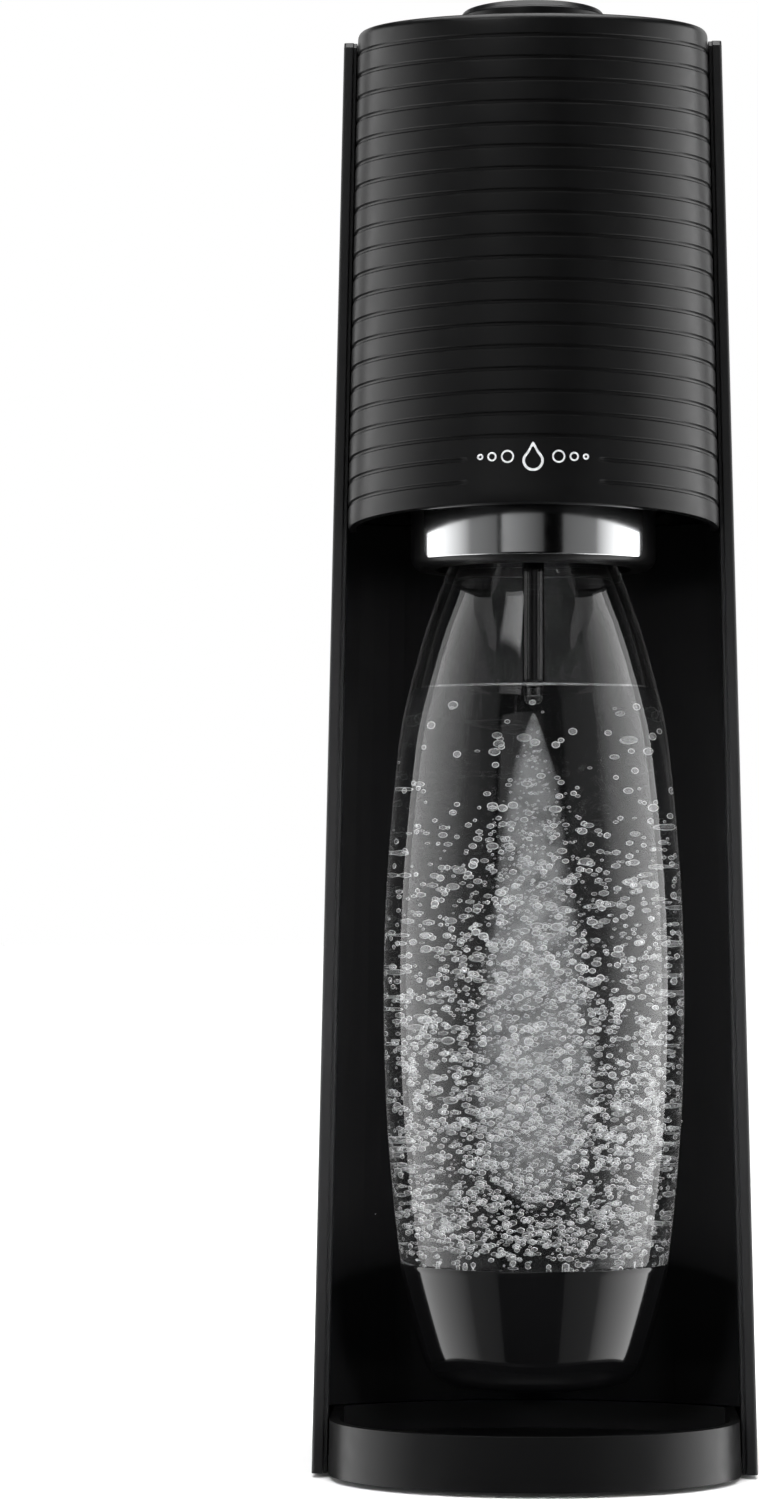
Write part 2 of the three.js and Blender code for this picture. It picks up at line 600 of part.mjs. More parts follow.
function makeLockHandle() {
  let body = box(-29, 29, -3, 3, -38, -32);
  for (const [x0, x1] of [[-29, -25.5], [25.5, 29]]) {
    body = body.add(box(x0, x1, -4, 4, -36, 0)).add(crossRod(7, x0, x1, 0, 0, 24));
  }
  body = body.subtract(crossRod(HANDLE.trunnion + 0.35, -35, 35, 0, 0));
  const made = piece("lock_handle", body, PINK, [0, CYLINDER_Y, HANDLE.z]);
  made.rotation.x = HANDLE.rest;
  return made;
}

function makeConnector() {
  const plunger = turned([
    [2.4, 392.2], [7.3, 392.2], [7.3, 390.4], [9.2, 390.4], [9.2, 400.5], [2.4, 400.5],
  ]);
  const at = [0, CYLINDER_Y, 0];
  return group(
    piece("connector_plunger", plunger, BRASS, at),
    piece("face_seal", ring(3.2, 7, 390.4, 391.9, 20), RUBBER, at),
    piece("pusher_pin", rod(1.8, 392.4, 405.7), STEEL, at),
    piece("lever_pin", crossRod(LEVER.pin, -10, 10, LEVER.pivotY, LEVER.pivotZ), STEEL),
  );
}

function makeGasLine() {
  const relief = rod(3, 0, 5.5).add(rod(4.6, 6, 12, 6)).add(rod(2.4, 5, 15));
  const outlet = rod(3, 0, 5.5).add(rod(4.2, 5.8, 8, 6)).add(rod(2, 5, 14));
  const [reliefPiece, outletPiece] = [
    ["relief_valve", relief, -12], ["outlet_fitting", outlet, 12],
  ].map(([name, body, x]) => {
    const made = piece(name, body, BRASS, [x, 29.5, 396]);
    made.rotation.x = Math.PI / 2;
    return made;
  });
  const elbow = crossRod(5, 26.8, 33, TILT_PIVOT.y, TILT_PIVOT.z, 20)
    .add(shifted(rod(2.4, 302, 311), 30, TILT_PIVOT.y));
  const route = new THREE.CatmullRomCurve3([
    new THREE.Vector3(12, 15, 396), new THREE.Vector3(13, 4, 395), new THREE.Vector3(18, -6, 382),
    new THREE.Vector3(25, -7, 358), new THREE.Vector3(30, -3, 334), new THREE.Vector3(30, -2, 311.4),
  ]);
  const section = new THREE.Shape();
  section.absarc(0, 0, 3, 0, 2 * Math.PI, false);
  const hose = solid(
    new THREE.ExtrudeGeometry(section, { steps: 16, curveSegments: 4, extrudePath: route }),
  );
  return group(
    reliefPiece, outletPiece, piece("hose_elbow", elbow, BRASS), piece("gas_hose", hose, RUBBER),
  );
}

function makeBlockScrews() {
  return [-1, 1].map((side, i) => {
    const body = rod(3, -2.4, 0, 12).add(rod(1, -0.5, 10, 12));
    return piece(`block_screw_${i + 1}`, body, STEEL, [side * 21, 30, HEAD_FRAME.bottom - 0.3]);
  });
}

// ---------------------------------------------------------------- the whole machine
const machine = group(
  makeBase(), makeSides(), makeRear(),
  group(makeShroud(), makeHeadFloor(), makeHeadFrame(), makeTopPlate(), makeButton()),
  makeHolder(), makeBottle(), makeCylinder(),
  group(makeValveBlock(), makeLever(), makeLockHandle(), makeConnector(), ...makeBlockScrews()),
  makeGasLine(),
);

export default machine;
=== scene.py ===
"""The looks of a countertop soda carbonator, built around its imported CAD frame.

Metres, in the CAD's own frame: X to the right, -Y towards the user, Z up from the table.
"""

import math
import random

import bmesh
import bpy
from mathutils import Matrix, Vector


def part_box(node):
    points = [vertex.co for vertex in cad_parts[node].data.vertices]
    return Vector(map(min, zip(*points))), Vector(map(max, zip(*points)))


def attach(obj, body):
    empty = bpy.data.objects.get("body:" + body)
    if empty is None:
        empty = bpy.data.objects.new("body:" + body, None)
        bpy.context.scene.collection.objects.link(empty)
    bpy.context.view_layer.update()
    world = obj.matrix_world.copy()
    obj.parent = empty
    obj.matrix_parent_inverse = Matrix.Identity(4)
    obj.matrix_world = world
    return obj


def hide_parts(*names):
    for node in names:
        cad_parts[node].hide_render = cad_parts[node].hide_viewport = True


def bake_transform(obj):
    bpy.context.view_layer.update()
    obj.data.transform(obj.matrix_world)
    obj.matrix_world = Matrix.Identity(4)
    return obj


MM = 0.001
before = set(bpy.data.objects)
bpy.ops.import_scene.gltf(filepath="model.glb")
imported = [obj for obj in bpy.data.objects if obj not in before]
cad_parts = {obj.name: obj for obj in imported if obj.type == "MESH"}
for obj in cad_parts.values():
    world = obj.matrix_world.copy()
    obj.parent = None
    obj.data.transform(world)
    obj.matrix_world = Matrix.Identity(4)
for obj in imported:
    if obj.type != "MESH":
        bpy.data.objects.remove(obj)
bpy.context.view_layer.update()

# ---------------------------------------------------------------- driving dimensions
EDGE_Y = -50 * MM  # front edges of the side panels
NOSE = 47.5 * MM  # bulge of the base and the head forward of those edges
NOSE_TOP = 41 * MM  # bulge of the head at its top
TAPER = 0.337  # share of the width lost per metre of height
HALF_WIDTH = 66.3 * MM  # half the width over the side panels, on the table
COVER_Y = 52.7 * MM  # front edges of the rear cover
COVER_BULGE = 44.8 * MM
COVER_WALL = 2.5 * MM
HEAD_HALF = 61.3 * MM  # half the width of the head and the base, on the table
HEAD_BOTTOM, HEAD_TOP = 282 * MM, 432 * MM
HEAD_RISE, HEAD_DIP = 4 * MM, 2 * MM  # how the rim rises and the top dips towards the front
HEAD_WALL = 2.5 * MM
GROOVES = 21
TOP_GROOVE = 425 * MM
GROOVE_PITCH = 6.81 * MM
PATCH_HALF = 21 * MM  # half the width of the smooth patch that breaks the two lowest grooves
EMBLEM_HEIGHT = 299.5 * MM
EMBLEM_RINGS = ((7.4, 1.9), (11.9, 1.35), (15.3, 0.9))  # (distance from the drop, radius) in mm
BUTTON_RADIUS, BUTTON_SKIRT = 23, 426.8  # in mm; the skirt is the height of its lower edge
HOLDER_RADIUS, CHROME_RADIUS = 36.75, 37.1  # in mm
SLEEVE_RADIUS = 30.8  # in mm


def middle(node):
    """(x, y) of the middle of a CAD node."""
    low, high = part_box(node)
    return ((low + high) / 2).xy


BOTTLE_AT = middle("bottle_body")
CYLINDER_AT = middle("cylinder_body")
BUTTON_AT = middle("carbonating_button")


def narrowing(z):
    return 1 - TAPER * z


# ---------------------------------------------------------------- materials
def new_material(name):
    material = bpy.data.materials.new(name)
    material.use_nodes = True
    return material, material.node_tree.nodes, material.node_tree.links


def noise_value(nodes, links, size, stretch=(1, 1, 1), detail=3.0):
    """The output of a noise texture whose features are about size across."""
    place = nodes.new("ShaderNodeTexCoord")
    scale = nodes.new("ShaderNodeMapping")
    scale.inputs["Scale"].default_value = stretch
    noise = nodes.new("ShaderNodeTexNoise")
    noise.inputs["Scale"].default_value = 1 / size
    noise.inputs["Detail"].default_value = detail
    links.new(place.outputs["Object"], scale.inputs["Vector"])
    links.new(scale.outputs["Vector"], noise.inputs["Vector"])
    return noise.outputs["Fac"]


def remapped(nodes, links, value, low, high):
    spread = nodes.new("ShaderNodeMapRange")
    spread.inputs["From Min"].default_value = 0.3
    spread.inputs["From Max"].default_value = 0.7
    spread.inputs["To Min"].default_value = low
    spread.inputs["To Max"].default_value = high
    links.new(value, spread.inputs["Value"])
    return spread.outputs["Result"]


def surface(
    name, color, roughness, *, metallic=0.0, specular=0.5, coat=0.0, grain=0.0,
    grain_size=0.5 * MM, stretch=(1, 1, 1), mottle=0.06, smudge=0.12,
):
    """A finish with a fine grain as bump and slight changes of colour and gloss.

    grain is the bump's depth, mottle the share by which the colour changes, and smudge
    the share by which the roughness does.
    """
    material, nodes, links = new_material(name)
    bsdf = nodes["Principled BSDF"]
    bsdf.inputs["Metallic"].default_value = metallic
    bsdf.inputs["Specular IOR Level"].default_value = specular
    bsdf.inputs["Coat Weight"].default_value = coat
    bsdf.inputs["Coat Roughness"].default_value = 0.05

    patches = noise_value(nodes, links, 14 * MM)
    tint = nodes.new("ShaderNodeMix")
    tint.data_type = "RGBA"
    tint.inputs["A"].default_value = (*[c * (1 - mottle) for c in color], 1)
    tint.inputs["B"].default_value = (*[min(1, c * (1 + mottle)) for c in color], 1)
    links.new(remapped(nodes, links, patches, 0, 1), tint.inputs["Factor"])
    links.new(tint.outputs["Result"], bsdf.inputs["Base Color"])

    wear = noise_value(nodes, links, 5 * MM, stretch)
    low, high = roughness * (1 - smudge), roughness * (1 + smudge)
    links.new(remapped(nodes, links, wear, low, high), bsdf.inputs["Roughness"])

    if grain:
        bump = nodes.new("ShaderNodeBump")
        bump.inputs["Distance"].default_value = grain
        links.new(noise_value(nodes, links, grain_size, stretch), bump.inputs["Height"])
        links.new(bump.outputs["Normal"], bsdf.inputs["Normal"])
    return material


def clear(name, ior, color=(1, 1, 1)):
    """Something to look through, with a slightly uneven gloss and a faint haze on it."""
    material, nodes, links = new_material(name)
    bsdf = nodes["Principled BSDF"]
    bsdf.inputs["Base Color"].default_value = (*color, 1)
    bsdf.inputs["Transmission Weight"].default_value = 1
    bsdf.inputs["Sheen Weight"].default_value = 0.15
    bsdf.inputs["Sheen Roughness"].default_value = 0.25
    bsdf.inputs["IOR"].default_value = ior
    haze = noise_value(nodes, links, 20 * MM)
    links.new(remapped(nodes, links, haze, 0, 0.02), bsdf.inputs["Roughness"])
    return material


def bubble_material():
    """Gas in water: a bright mirror at the rim and nearly nothing in the middle."""
    material, nodes, links = new_material("bubble")
    bsdf = nodes["Principled BSDF"]
    bsdf.inputs["Base Color"].default_value = (0.95, 0.96, 0.97, 1)
    bsdf.inputs["Roughness"].default_value = 0.12
    facing = nodes.new("ShaderNodeLayerWeight")
    facing.inputs["Blend"].default_value = 0.5
    rim = nodes.new("ShaderNodeMapRange")
    rim.interpolation_type = "SMOOTHSTEP"
    rim.inputs["From Min"].default_value = 0.25
    rim.inputs["From Max"].default_value = 0.6
    rim.inputs["To Min"].default_value = 0.06
    rim.inputs["To Max"].default_value = 1.0
    links.new(facing.outputs["Facing"], rim.inputs["Value"])
    links.new(rim.outputs["Result"], bsdf.inputs["Alpha"])
    return material


def mist_material():
    """A cloud of the finest bubbles: patchy, and thinning out towards its outline."""
    material, nodes, links = new_material("mist")
    bsdf = nodes["Principled BSDF"]
    bsdf.inputs["Base Color"].default_value = (0.3, 0.304, 0.308, 1)
    bsdf.inputs["Roughness"].default_value = 0.9
    facing = nodes.new("ShaderNodeLayerWeight")
    facing.inputs["Blend"].default_value = 0.5
    body = nodes.new("ShaderNodeMapRange")
    body.interpolation_type = "SMOOTHSTEP"
    body.inputs["From Min"].default_value = 0.75
    body.inputs["From Max"].default_value = 0.05
    links.new(facing.outputs["Facing"], body.inputs["Value"])
    patches = remapped(nodes, links, noise_value(nodes, links, 3.5 * MM, detail=6), 0.04, 0.32)
    share = nodes.new("ShaderNodeMath")
    share.operation = "MULTIPLY"
    links.new(body.outputs["Result"], share.inputs[0])
    links.new(patches, share.inputs[1])
    links.new(share.outputs["Value"], bsdf.inputs["Alpha"])
    return material


def sleeve_material():
    """Printed film: magenta, with a wavy blue foot and a pale ring near its top."""
    material, nodes, links = new_material("printed_sleeve")
    bsdf = nodes["Principled BSDF"]
    bsdf.inputs["Roughness"].default_value = 0.28
    place = nodes.new("ShaderNodeTexCoord")
    split = nodes.new("ShaderNodeSeparateXYZ")
    links.new(place.outputs["Object"], split.inputs["Vector"])
    wave = nodes.new("ShaderNodeMath")
    wave.operation = "MULTIPLY_ADD"
    wave.inputs[1].default_value = 0.35
    links.new(split.outputs["X"], wave.inputs[0])
    links.new(split.outputs["Z"], wave.inputs[2])
    low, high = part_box("cylinder_sleeve")
    along = nodes.new("ShaderNodeMapRange")
    along.inputs["From Min"].default_value = low.z
    along.inputs["From Max"].default_value = high.z
    links.new(wave.outputs["Value"], along.inputs["Value"])
    ramp = nodes.new("ShaderNodeValToRGB")
    stops = [
        (0.0, (0.02, 0.2, 0.6)), (0.14, (0.0, 0.45, 0.75)), (0.27, (0.1, 0.65, 0.85)),
        (0.29, (0.55, 0.0, 0.4)), (0.34, (0.75, 0.0, 0.25)), (0.84, (0.75, 0.0, 0.25)),
        (0.86, (0.4, 0.75, 0.9)), (0.9, (0.4, 0.75, 0.9)), (0.92, (0.55, 0.0, 0.4)),
    ]
    for _ in stops[2:]:
        ramp.color_ramp.elements.new(0.5)
    for element, (position, color) in zip(ramp.color_ramp.elements, stops):
        element.position = position
        element.color = (*color, 1)
    links.new(along.outputs["Result"], ramp.inputs["Fac"])
    links.new(ramp.outputs["Color"], bsdf.inputs["Base Color"])
    return material


MATT_BLACK = surface("matt_black", (0.0035, 0.0035, 0.0037), 0.32, grain=0.012 * MM)
GLOSS_BLACK = surface("gloss_black", (0.0025, 0.0025, 0.0027), 0.09, specular=0.8)
SATIN_BLACK = surface("satin_black", (0.004, 0.004, 0.0042), 0.34, specular=0.2)
PANEL_BLACK = surface("panel_black", (0.012, 0.012, 0.0125), 0.4, grain=0.012 * MM)
INNER_BLACK = surface("inner_black", (0.02, 0.02, 0.022), 0.5, grain=0.04 * MM)
GREY = surface("grey_plastic", (0.16, 0.17, 0.18), 0.42, grain=0.03 * MM)
RUBBER = surface("rubber", (0.012, 0.012, 0.012), 0.75, grain=0.06 * MM)
CHROME = surface("chrome", (0.82, 0.83, 0.84), 0.13, metallic=1.0, mottle=0.02)
STEEL = surface(
    "steel", (0.5, 0.51, 0.53), 0.3, metallic=1.0, grain=0.01 * MM, stretch=(1, 1, 0.1),
)
BRASS = surface("brass", (0.62, 0.45, 0.18), 0.28, metallic=1.0, grain=0.01 * MM)
ALUMINIUM = surface(
    "brushed_aluminium", (0.66, 0.68, 0.7), 0.3, metallic=1.0, grain=0.012 * MM,
    stretch=(0.15, 0.15, 4),
)
PINK = surface("pink", (0.75, 0.005, 0.22), 0.3, grain=0.015 * MM)
PRINT = surface("pale_print", (0.62, 0.63, 0.64), 0.4, mottle=0.05)
CLEAR = clear("clear_plastic", 1.45)
WATER = clear("water", 1.33, color=(0.985, 0.995, 1.0))
BUBBLE = bubble_material()
MIST = mist_material()
SLEEVE = sleeve_material()


# ---------------------------------------------------------------- mesh making
def add_mesh(name, points, faces, material, body, *, replaces=(), slot=None, angle=32):
    """A new piece that rides on a body, shaded smooth except at edges sharper than angle."""
    mesh = bpy.data.meshes.new(name)
    mesh.from_pydata([tuple(p) for p in points], [], faces)
    return add_piece(name, mesh, material, body, replaces=replaces, angle=angle)


def add_piece(name, mesh, material, body, *, replaces=(), angle=32):
    shape = bmesh.new()
    shape.from_mesh(mesh)
    bmesh.ops.recalc_face_normals(shape, faces=shape.faces)
    shape.to_mesh(mesh)
    shape.free()
    mesh.materials.clear()
    mesh.materials.append(material)
    for polygon in mesh.polygons:
        polygon.use_smooth = True
        polygon.material_index = 0
    mesh.set_sharp_from_angle(angle=math.radians(angle))
    piece = bpy.data.objects.new(name, mesh)
    bpy.context.scene.collection.objects.link(piece)
    if body:
        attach(piece, body)
    if replaces:
        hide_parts(*replaces)
    return piece


def grid_faces(rows, columns, row_loop=False, column_loop=False):
    """Quads of a grid of points that is numbered row by row."""
    faces = []
    for i in range(rows if row_loop else rows - 1):
        for j in range(columns if column_loop else columns - 1):
            a, b = i * columns, (i + 1) % rows * columns
            k = (j + 1) % columns
            faces.append((a + j, a + k, b + k, b + j))
    return faces


def smooth_line(points, steps=6):
    """Points on a Catmull-Rom curve through the given ones."""
    made = []
    for i in range(len(points) - 1):
        a, b = points[max(i - 1, 0)], points[i]
        c, d = points[i + 1], points[min(i + 2, len(points) - 1)]
        for k in range(steps):
            t = k / steps
            made.append(tuple(
                0.5 * (2 * q + (r - p) * t + (2 * p - 5 * q + 4 * r - s) * t**2
                       + (3 * q - p - 3 * r + s) * t**3)
                for p, q, r, s in zip(a, b, c, d)
            ))
    return [*made, tuple(points[-1])]


def turned(name, profile, at, material, body, *, segments=96, **more):
    """A solid of revolution. Its profile, in mm, is [radius, height] and starts and ends on
    the axis, or is a loop away from it."""
    on_axis = profile[0][0] == 0
    rim = profile[1:-1] if on_axis else profile
    points = []
    for radius, height in rim:
        for k in range(segments):
            turn = 2 * math.pi * k / segments
            points.append((
                at[0] + radius * MM * math.cos(turn), at[1] + radius * MM * math.sin(turn),
                height * MM,
            ))
    faces = grid_faces(len(rim), segments, row_loop=not on_axis, column_loop=True)
    if on_axis:
        for end, first in ((profile[0], 0), (profile[-1], (len(rim) - 1) * segments)):
            centre = len(points)
            points.append((*at, end[1] * MM))
            faces += [
                (centre, first + k, first + (k + 1) % segments) for k in range(segments)
            ]
    return add_mesh(name, points, faces, material, body, **more)


def rounded(corners, radius, steps=4):
    """A profile with each of its corners that has a radius rounded off.

    corners are (across, along) in mm; radius is one number, or one for each corner.
    """
    radii = radius if isinstance(radius, (list, tuple)) else [radius] * len(corners)
    made = []
    for i, (corner, size) in enumerate(zip(corners, radii)):
        here = Vector(corner)
        before = Vector(corners[i - 1]) - here
        after = Vector(corners[(i + 1) % len(corners)]) - here
        if size == 0 or i in (0, len(corners) - 1):
            made.append(tuple(here))
            continue
        reach = min(size, before.length / 2.01, after.length / 2.01)
        start = here + before.normalized() * reach
        end = here + after.normalized() * reach
        for k in range(steps + 1):
            t = k / steps
            made.append(tuple(start * (1 - t) ** 2 + here * 2 * t * (1 - t) + end * t**2))
    return made


def soften(piece, width, angle, *, clamp=True):
    """Rounds off the edges of a piece that are sharper than angle.

    clamp keeps the rounding narrower than the faces beside it.
    """
    bevel = piece.modifiers.new("soft edges", "BEVEL")
    bevel.width = width
    bevel.segments = 3
    bevel.use_clamp_overlap = clamp
    bevel.limit_method = "ANGLE"
    bevel.angle_limit = math.radians(angle)
    evened = piece.modifiers.new("even shading", "WEIGHTED_NORMAL")
    evened.keep_sharp = True


def refined(node, body, material, *, bevel=0.0, angle=25, change=None):
    """A CAD node's own shape as a new piece, with smooth curves and softened edges.

    change, if given, reshapes its bmesh.
    """
    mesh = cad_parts[node].data.copy()
    shape = bmesh.new()
    shape.from_mesh(mesh)
    bmesh.ops.remove_doubles(shape, verts=shape.verts, dist=1e-6)
    bmesh.ops.dissolve_limit(
        shape, angle_limit=math.radians(1), verts=shape.verts, edges=shape.edges,
    )
    if change:
        change(shape)
    shape.to_mesh(mesh)
    shape.free()
    piece = add_piece(
        f"{node}_shell", mesh, material, body, replaces=[node], angle=angle,
    )
    if bevel:
        soften(piece, bevel, 40)
    return piece


# ---------------------------------------------------------------- head
def nose_outline(half, bulge, tab_y, steps):
    """(point, outward normal) pairs round a nose, from its left tab to its right one."""
    made = [(Vector((-half, tab_y)), Vector((-1, 0)))]
    for k in range(steps + 1):
        turn = math.pi * k / steps
        across, forward = -math.cos(turn), -math.sin(turn)
        point = Vector((half * across, EDGE_Y + bulge * forward))
        made.append((point, Vector((across / half, forward / bulge)).normalized()))
    made.append((Vector((half, tab_y)), Vector((1, 0))))
    return made


def head_point(plan, height):
    """Where a point of the head's plain prism goes once the head leans and narrows."""
    up = (height - HEAD_BOTTOM) / (HEAD_TOP - HEAD_BOTTOM)
    x, y, z = plan.x, plan.y, height
    if y < EDGE_Y:
        forward = (EDGE_Y - y) / NOSE
        y = EDGE_Y - (EDGE_Y - y) * (1 + (NOSE_TOP / NOSE - 1) * up)
        z += forward * (HEAD_RISE * (1 - up) - HEAD_DIP * up)
    return Vector((x * narrowing(z), y, z))


def smoothstep(low, high, value):
    t = min(max((value - low) / (high - low), 0), 1)
    return t * t * (3 - 2 * t)


def head_profile():
    """(inset, height, groove number or None) round the shroud's wall, in metres."""
    lines = [(HEAD_WALL, HEAD_BOTTOM, None), (1.2 * MM, HEAD_BOTTOM, None)]
    lines += [(0.35 * MM, HEAD_BOTTOM + 0.3 * MM, None), (0, HEAD_BOTTOM + 1.2 * MM, None)]
    lip, floor, depth = 0.75 * MM, 0.28 * MM, 0.55 * MM
    for index in reversed(range(GROOVES)):
        height = TOP_GROOVE - index * GROOVE_PITCH
        lines.append((0, height - lip - 0.35 * MM, None))
        for offset, inset in ((-lip, 0.04), (-floor, 1), (floor, 1), (lip, 0.04)):
            lines.append((inset * depth, height + offset, index))
        lines.append((0, height + lip + 0.35 * MM, None))
    radius = 2.2 * MM
    for k in range(7):
        turn = math.pi / 2 * k / 6
        inset = radius * (1 - math.cos(turn))
        lines.append((inset, HEAD_TOP - radius + radius * math.sin(turn), None))
    lines += [(HEAD_WALL, HEAD_TOP - 0.3 * MM, None)]
    return lines


def make_shroud():
    outline = nose_outline(HEAD_HALF, NOSE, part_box("head_shroud")[1].y, 150)
    profile = head_profile()
    points = []
    for plan, normal in outline:
        for inset, height, groove in profile:
            if groove is not None and groove >= GROOVES - 2:
                inset *= smoothstep(PATCH_HALF, PATCH_HALF + 2 * MM, abs(plan.x))
            points.append(head_point(plan - normal * inset, height))
    columns = len(profile)
    faces = grid_faces(len(outline), columns, column_loop=True)
    faces.append(tuple(range(columns)))
    faces.append(tuple(range(len(points) - columns, len(points))))
    add_mesh(
        "ribbed_shroud", points, faces, MATT_BLACK, "machine", replaces=["head_shroud"],
        slot="matt_black", angle=24,
    )


def on_head(x, z, lift):
    """A point on the front of the head at x and height z, lifted off it."""
    across = x / narrowing(z)
    plan = Vector((across, EDGE_Y - NOSE * math.sqrt(1 - (across / HEAD_HALF) ** 2)))
    height = z
    for _ in range(4):
        height += z - head_point(plan, height).z
    return head_point(plan, height) - Vector((0, lift, 0))


def make_mark(name, outline, hole):
    """A thin printed ring on the head; its outline and its hole are lists of (x, z)."""
    front, back = 0.12 * MM, -0.5 * MM
    loops = ((outline, front), (hole, front), (hole, back), (outline, back))
    points = [on_head(x, z, lift) for loop, lift in loops for x, z in loop]
    faces = grid_faces(len(loops), len(outline), row_loop=True, column_loop=True)
    add_mesh(name, points, faces, PRINT, "machine", angle=30)


def make_emblem():
    """A plain droplet between two rows of bubbles, in place of any lettering."""
    steps = 40
    turns = [2 * math.pi * k / steps for k in range(steps)]
    middle_height = EMBLEM_HEIGHT - 1.2 * MM  # of the drop's round part

    def drop(size):
        outline = []
        for turn in turns:
            upward = max(math.cos(turn), 0)
            reach = size * (1 + 0.75 * upward**6)
            across = size * math.sin(turn) * (1 - 0.35 * upward**3)
            outline.append((across, middle_height + reach * math.cos(turn)))
        return outline

    def circle(x, size):
        return [(x + size * math.sin(t), EMBLEM_HEIGHT + size * math.cos(t)) for t in turns]

    make_mark("emblem_drop", drop(3.1 * MM), drop(2.35 * MM))
    line = 0.5
    for index, (x, size) in enumerate(EMBLEM_RINGS):
        for side, letter in ((-1, "l"), (1, "r")):
            ring = circle(side * x * MM, size * MM)
            hole = circle(side * x * MM, (size - line) * MM)
            make_mark(f"emblem_bubble_{index}_{letter}", ring, hole)


def make_button():
    bottom, top = (corner.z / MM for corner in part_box("carbonating_button"))
    radius, wall, stem = BUTTON_RADIUS, 2.5, 5
    crown = top - 3
    profile = rounded([
        (0, bottom), (stem, bottom), (stem, crown), (radius - wall, crown),
        (radius - wall, BUTTON_SKIRT), (radius, BUTTON_SKIRT), (radius, top - 2.2),
        (radius - 1, top - 1.8), (radius - 2.2, top), (radius - 5, top), (radius - 8, top - 0.5),
        (0, top - 0.7),
    ], [0, 0.4, 0.5, 0.5, 0.3, 0.3, 0.5, 0.6, 0.8, 1.5, 3, 0])
    turned("press_button", profile, BUTTON_AT, MATT_BLACK, "button",
           replaces=["carbonating_button"], slot="matt_black")


# ---------------------------------------------------------------- side panels
def make_panel(side, node):
    """A panel with a rounded nose, a step behind it and its top's front corner cut off."""
    low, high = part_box(node)
    outer = HALF_WIDTH / MM
    front, rear, bottom, top = low.y / MM, high.y / MM, low.z / MM, high.z / MM
    wall, nose, lip = 3, 3.4, 4.6  # thicknesses
    step, lip_end = front + 1.1, front + 8
    corner = 1.6
    section = rounded([
        (outer, rear), (outer, front), (outer - nose, front), (outer - nose, step),
        (outer - lip, step), (outer - lip, lip_end), (outer - wall, lip_end),
        (outer - wall, rear),
    ], [0, 1.3, 0.5, 0.2, 0.3, 0.3, 0.3, 0])
    points = []
    for height in (bottom, bottom + 0.5, top - corner - 4, top - corner, top):
        cut = corner if height == top else 0
        for across, deep in section:
            set_back = cut if deep < front + corner else 0
            points.append((
                side * across * MM * narrowing(height * MM), (deep + set_back) * MM, height * MM,
            ))
    columns = len(section)
    faces = grid_faces(len(points) // columns, columns, column_loop=True)
    faces.append(tuple(range(columns)))
    faces.append(tuple(range(len(points) - columns, len(points))))
    panel = add_mesh(f"{node}_skin", points, faces, PANEL_BLACK, "machine", replaces=[node],
                     slot="gloss_black", angle=30)
    soften(panel, 0.4 * MM, 50)


# ---------------------------------------------------------------- holder, nozzle and bottle
def add_block(points, faces, low, high):
    """Adds a box between two corners to lists of points and faces."""
    start = len(points)
    corners = [(x, y, z) for x in (low[0], high[0]) for y in (low[1], high[1])
               for z in (low[2], high[2])]
    points += [tuple(c * MM for c in corner) for corner in corners]
    sides = ((0, 1, 3, 2), (4, 6, 7, 5), (0, 4, 5, 1), (2, 3, 7, 6), (0, 2, 6, 4), (1, 5, 7, 3))
    faces += [tuple(start + k for k in side) for side in sides]


def front_band(name, inner, outer, half_angle, bottom, top, corner, material, body, **more):
    """A band round the front of a cylinder, with rounded edges and rounded lower corners."""
    steps, rows, edge = 96, 14, 0.5
    roundings = [math.pi / 2 * m / 4 for m in range(5)]
    points = []
    for k in range(steps + 1):
        turn = -half_angle + 2 * half_angle * k / steps
        from_end = (half_angle - abs(turn)) * outer
        lift = 0
        if from_end < corner:
            lift = corner - math.sqrt(max(corner**2 - (corner - from_end) ** 2, 0))
        low = bottom + lift
        loop = [(inner, low), *[
            (outer - edge * (1 - math.sin(a)), low + edge * (1 - math.cos(a))) for a in roundings
        ]]
        loop += [(outer, low + (top - low) * m / rows) for m in range(1, rows + 1)]
        loop.append((inner, top))
        for radius, height in loop:
            points.append((
                BOTTLE_AT.x + radius * MM * math.sin(turn),
                BOTTLE_AT.y - radius * MM * math.cos(turn), height * MM,
            ))
    columns = len(loop)
    faces = grid_faces(steps + 1, columns, column_loop=True)
    faces.append(tuple(range(columns)))
    faces.append(tuple(range(len(points) - columns, len(points))))
    return add_mesh(name, points, faces, material, body, angle=30, **more)


def make_holder():
    """The cup that grips the bottle's neck, the ears it tilts on and its chrome band."""
    bottom, ceiling, top, neck_top = 270.6, 294, 300, 314
    bore, hollow, neck = 4.2, 31, 14
    profile = rounded([
        (29.5, bottom), (34.9, bottom), (HOLDER_RADIUS, bottom + 2.2), (HOLDER_RADIUS, top),
        (neck, top), (neck, neck_top), (bore, neck_top), (bore, ceiling), (hollow, ceiling),
        (hollow, bottom + 2.8), (29.5, bottom + 2.6), (29.5, bottom),
    ], [0, 1.5, 1.5, 1.2, 1, 1, 0, 0, 0.5, 0.3, 0.3, 0])[:-1]
    turned("holder_cup", profile, BOTTLE_AT, MATT_BLACK, "holder",
           replaces=["bottle_holder"], slot="gloss_black")
    points, faces = [], []
    ear_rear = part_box("bottle_holder")[1].y / MM - 2.5
    for x0, x1 in ((-19, -14), (14, 19)):
        add_block(points, faces, (x0, -18, 294.5), (x1, ear_rear, 305.5))
    add_mesh("holder_ears", points, faces, GLOSS_BLACK, "holder")
    low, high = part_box("chrome_trim")
    front_band("chrome_band", CHROME_RADIUS - 1.6, CHROME_RADIUS, math.radians(61), low.z / MM,
               high.z / MM, 2.2, CHROME, "holder", replaces=["chrome_trim"], slot="chrome")


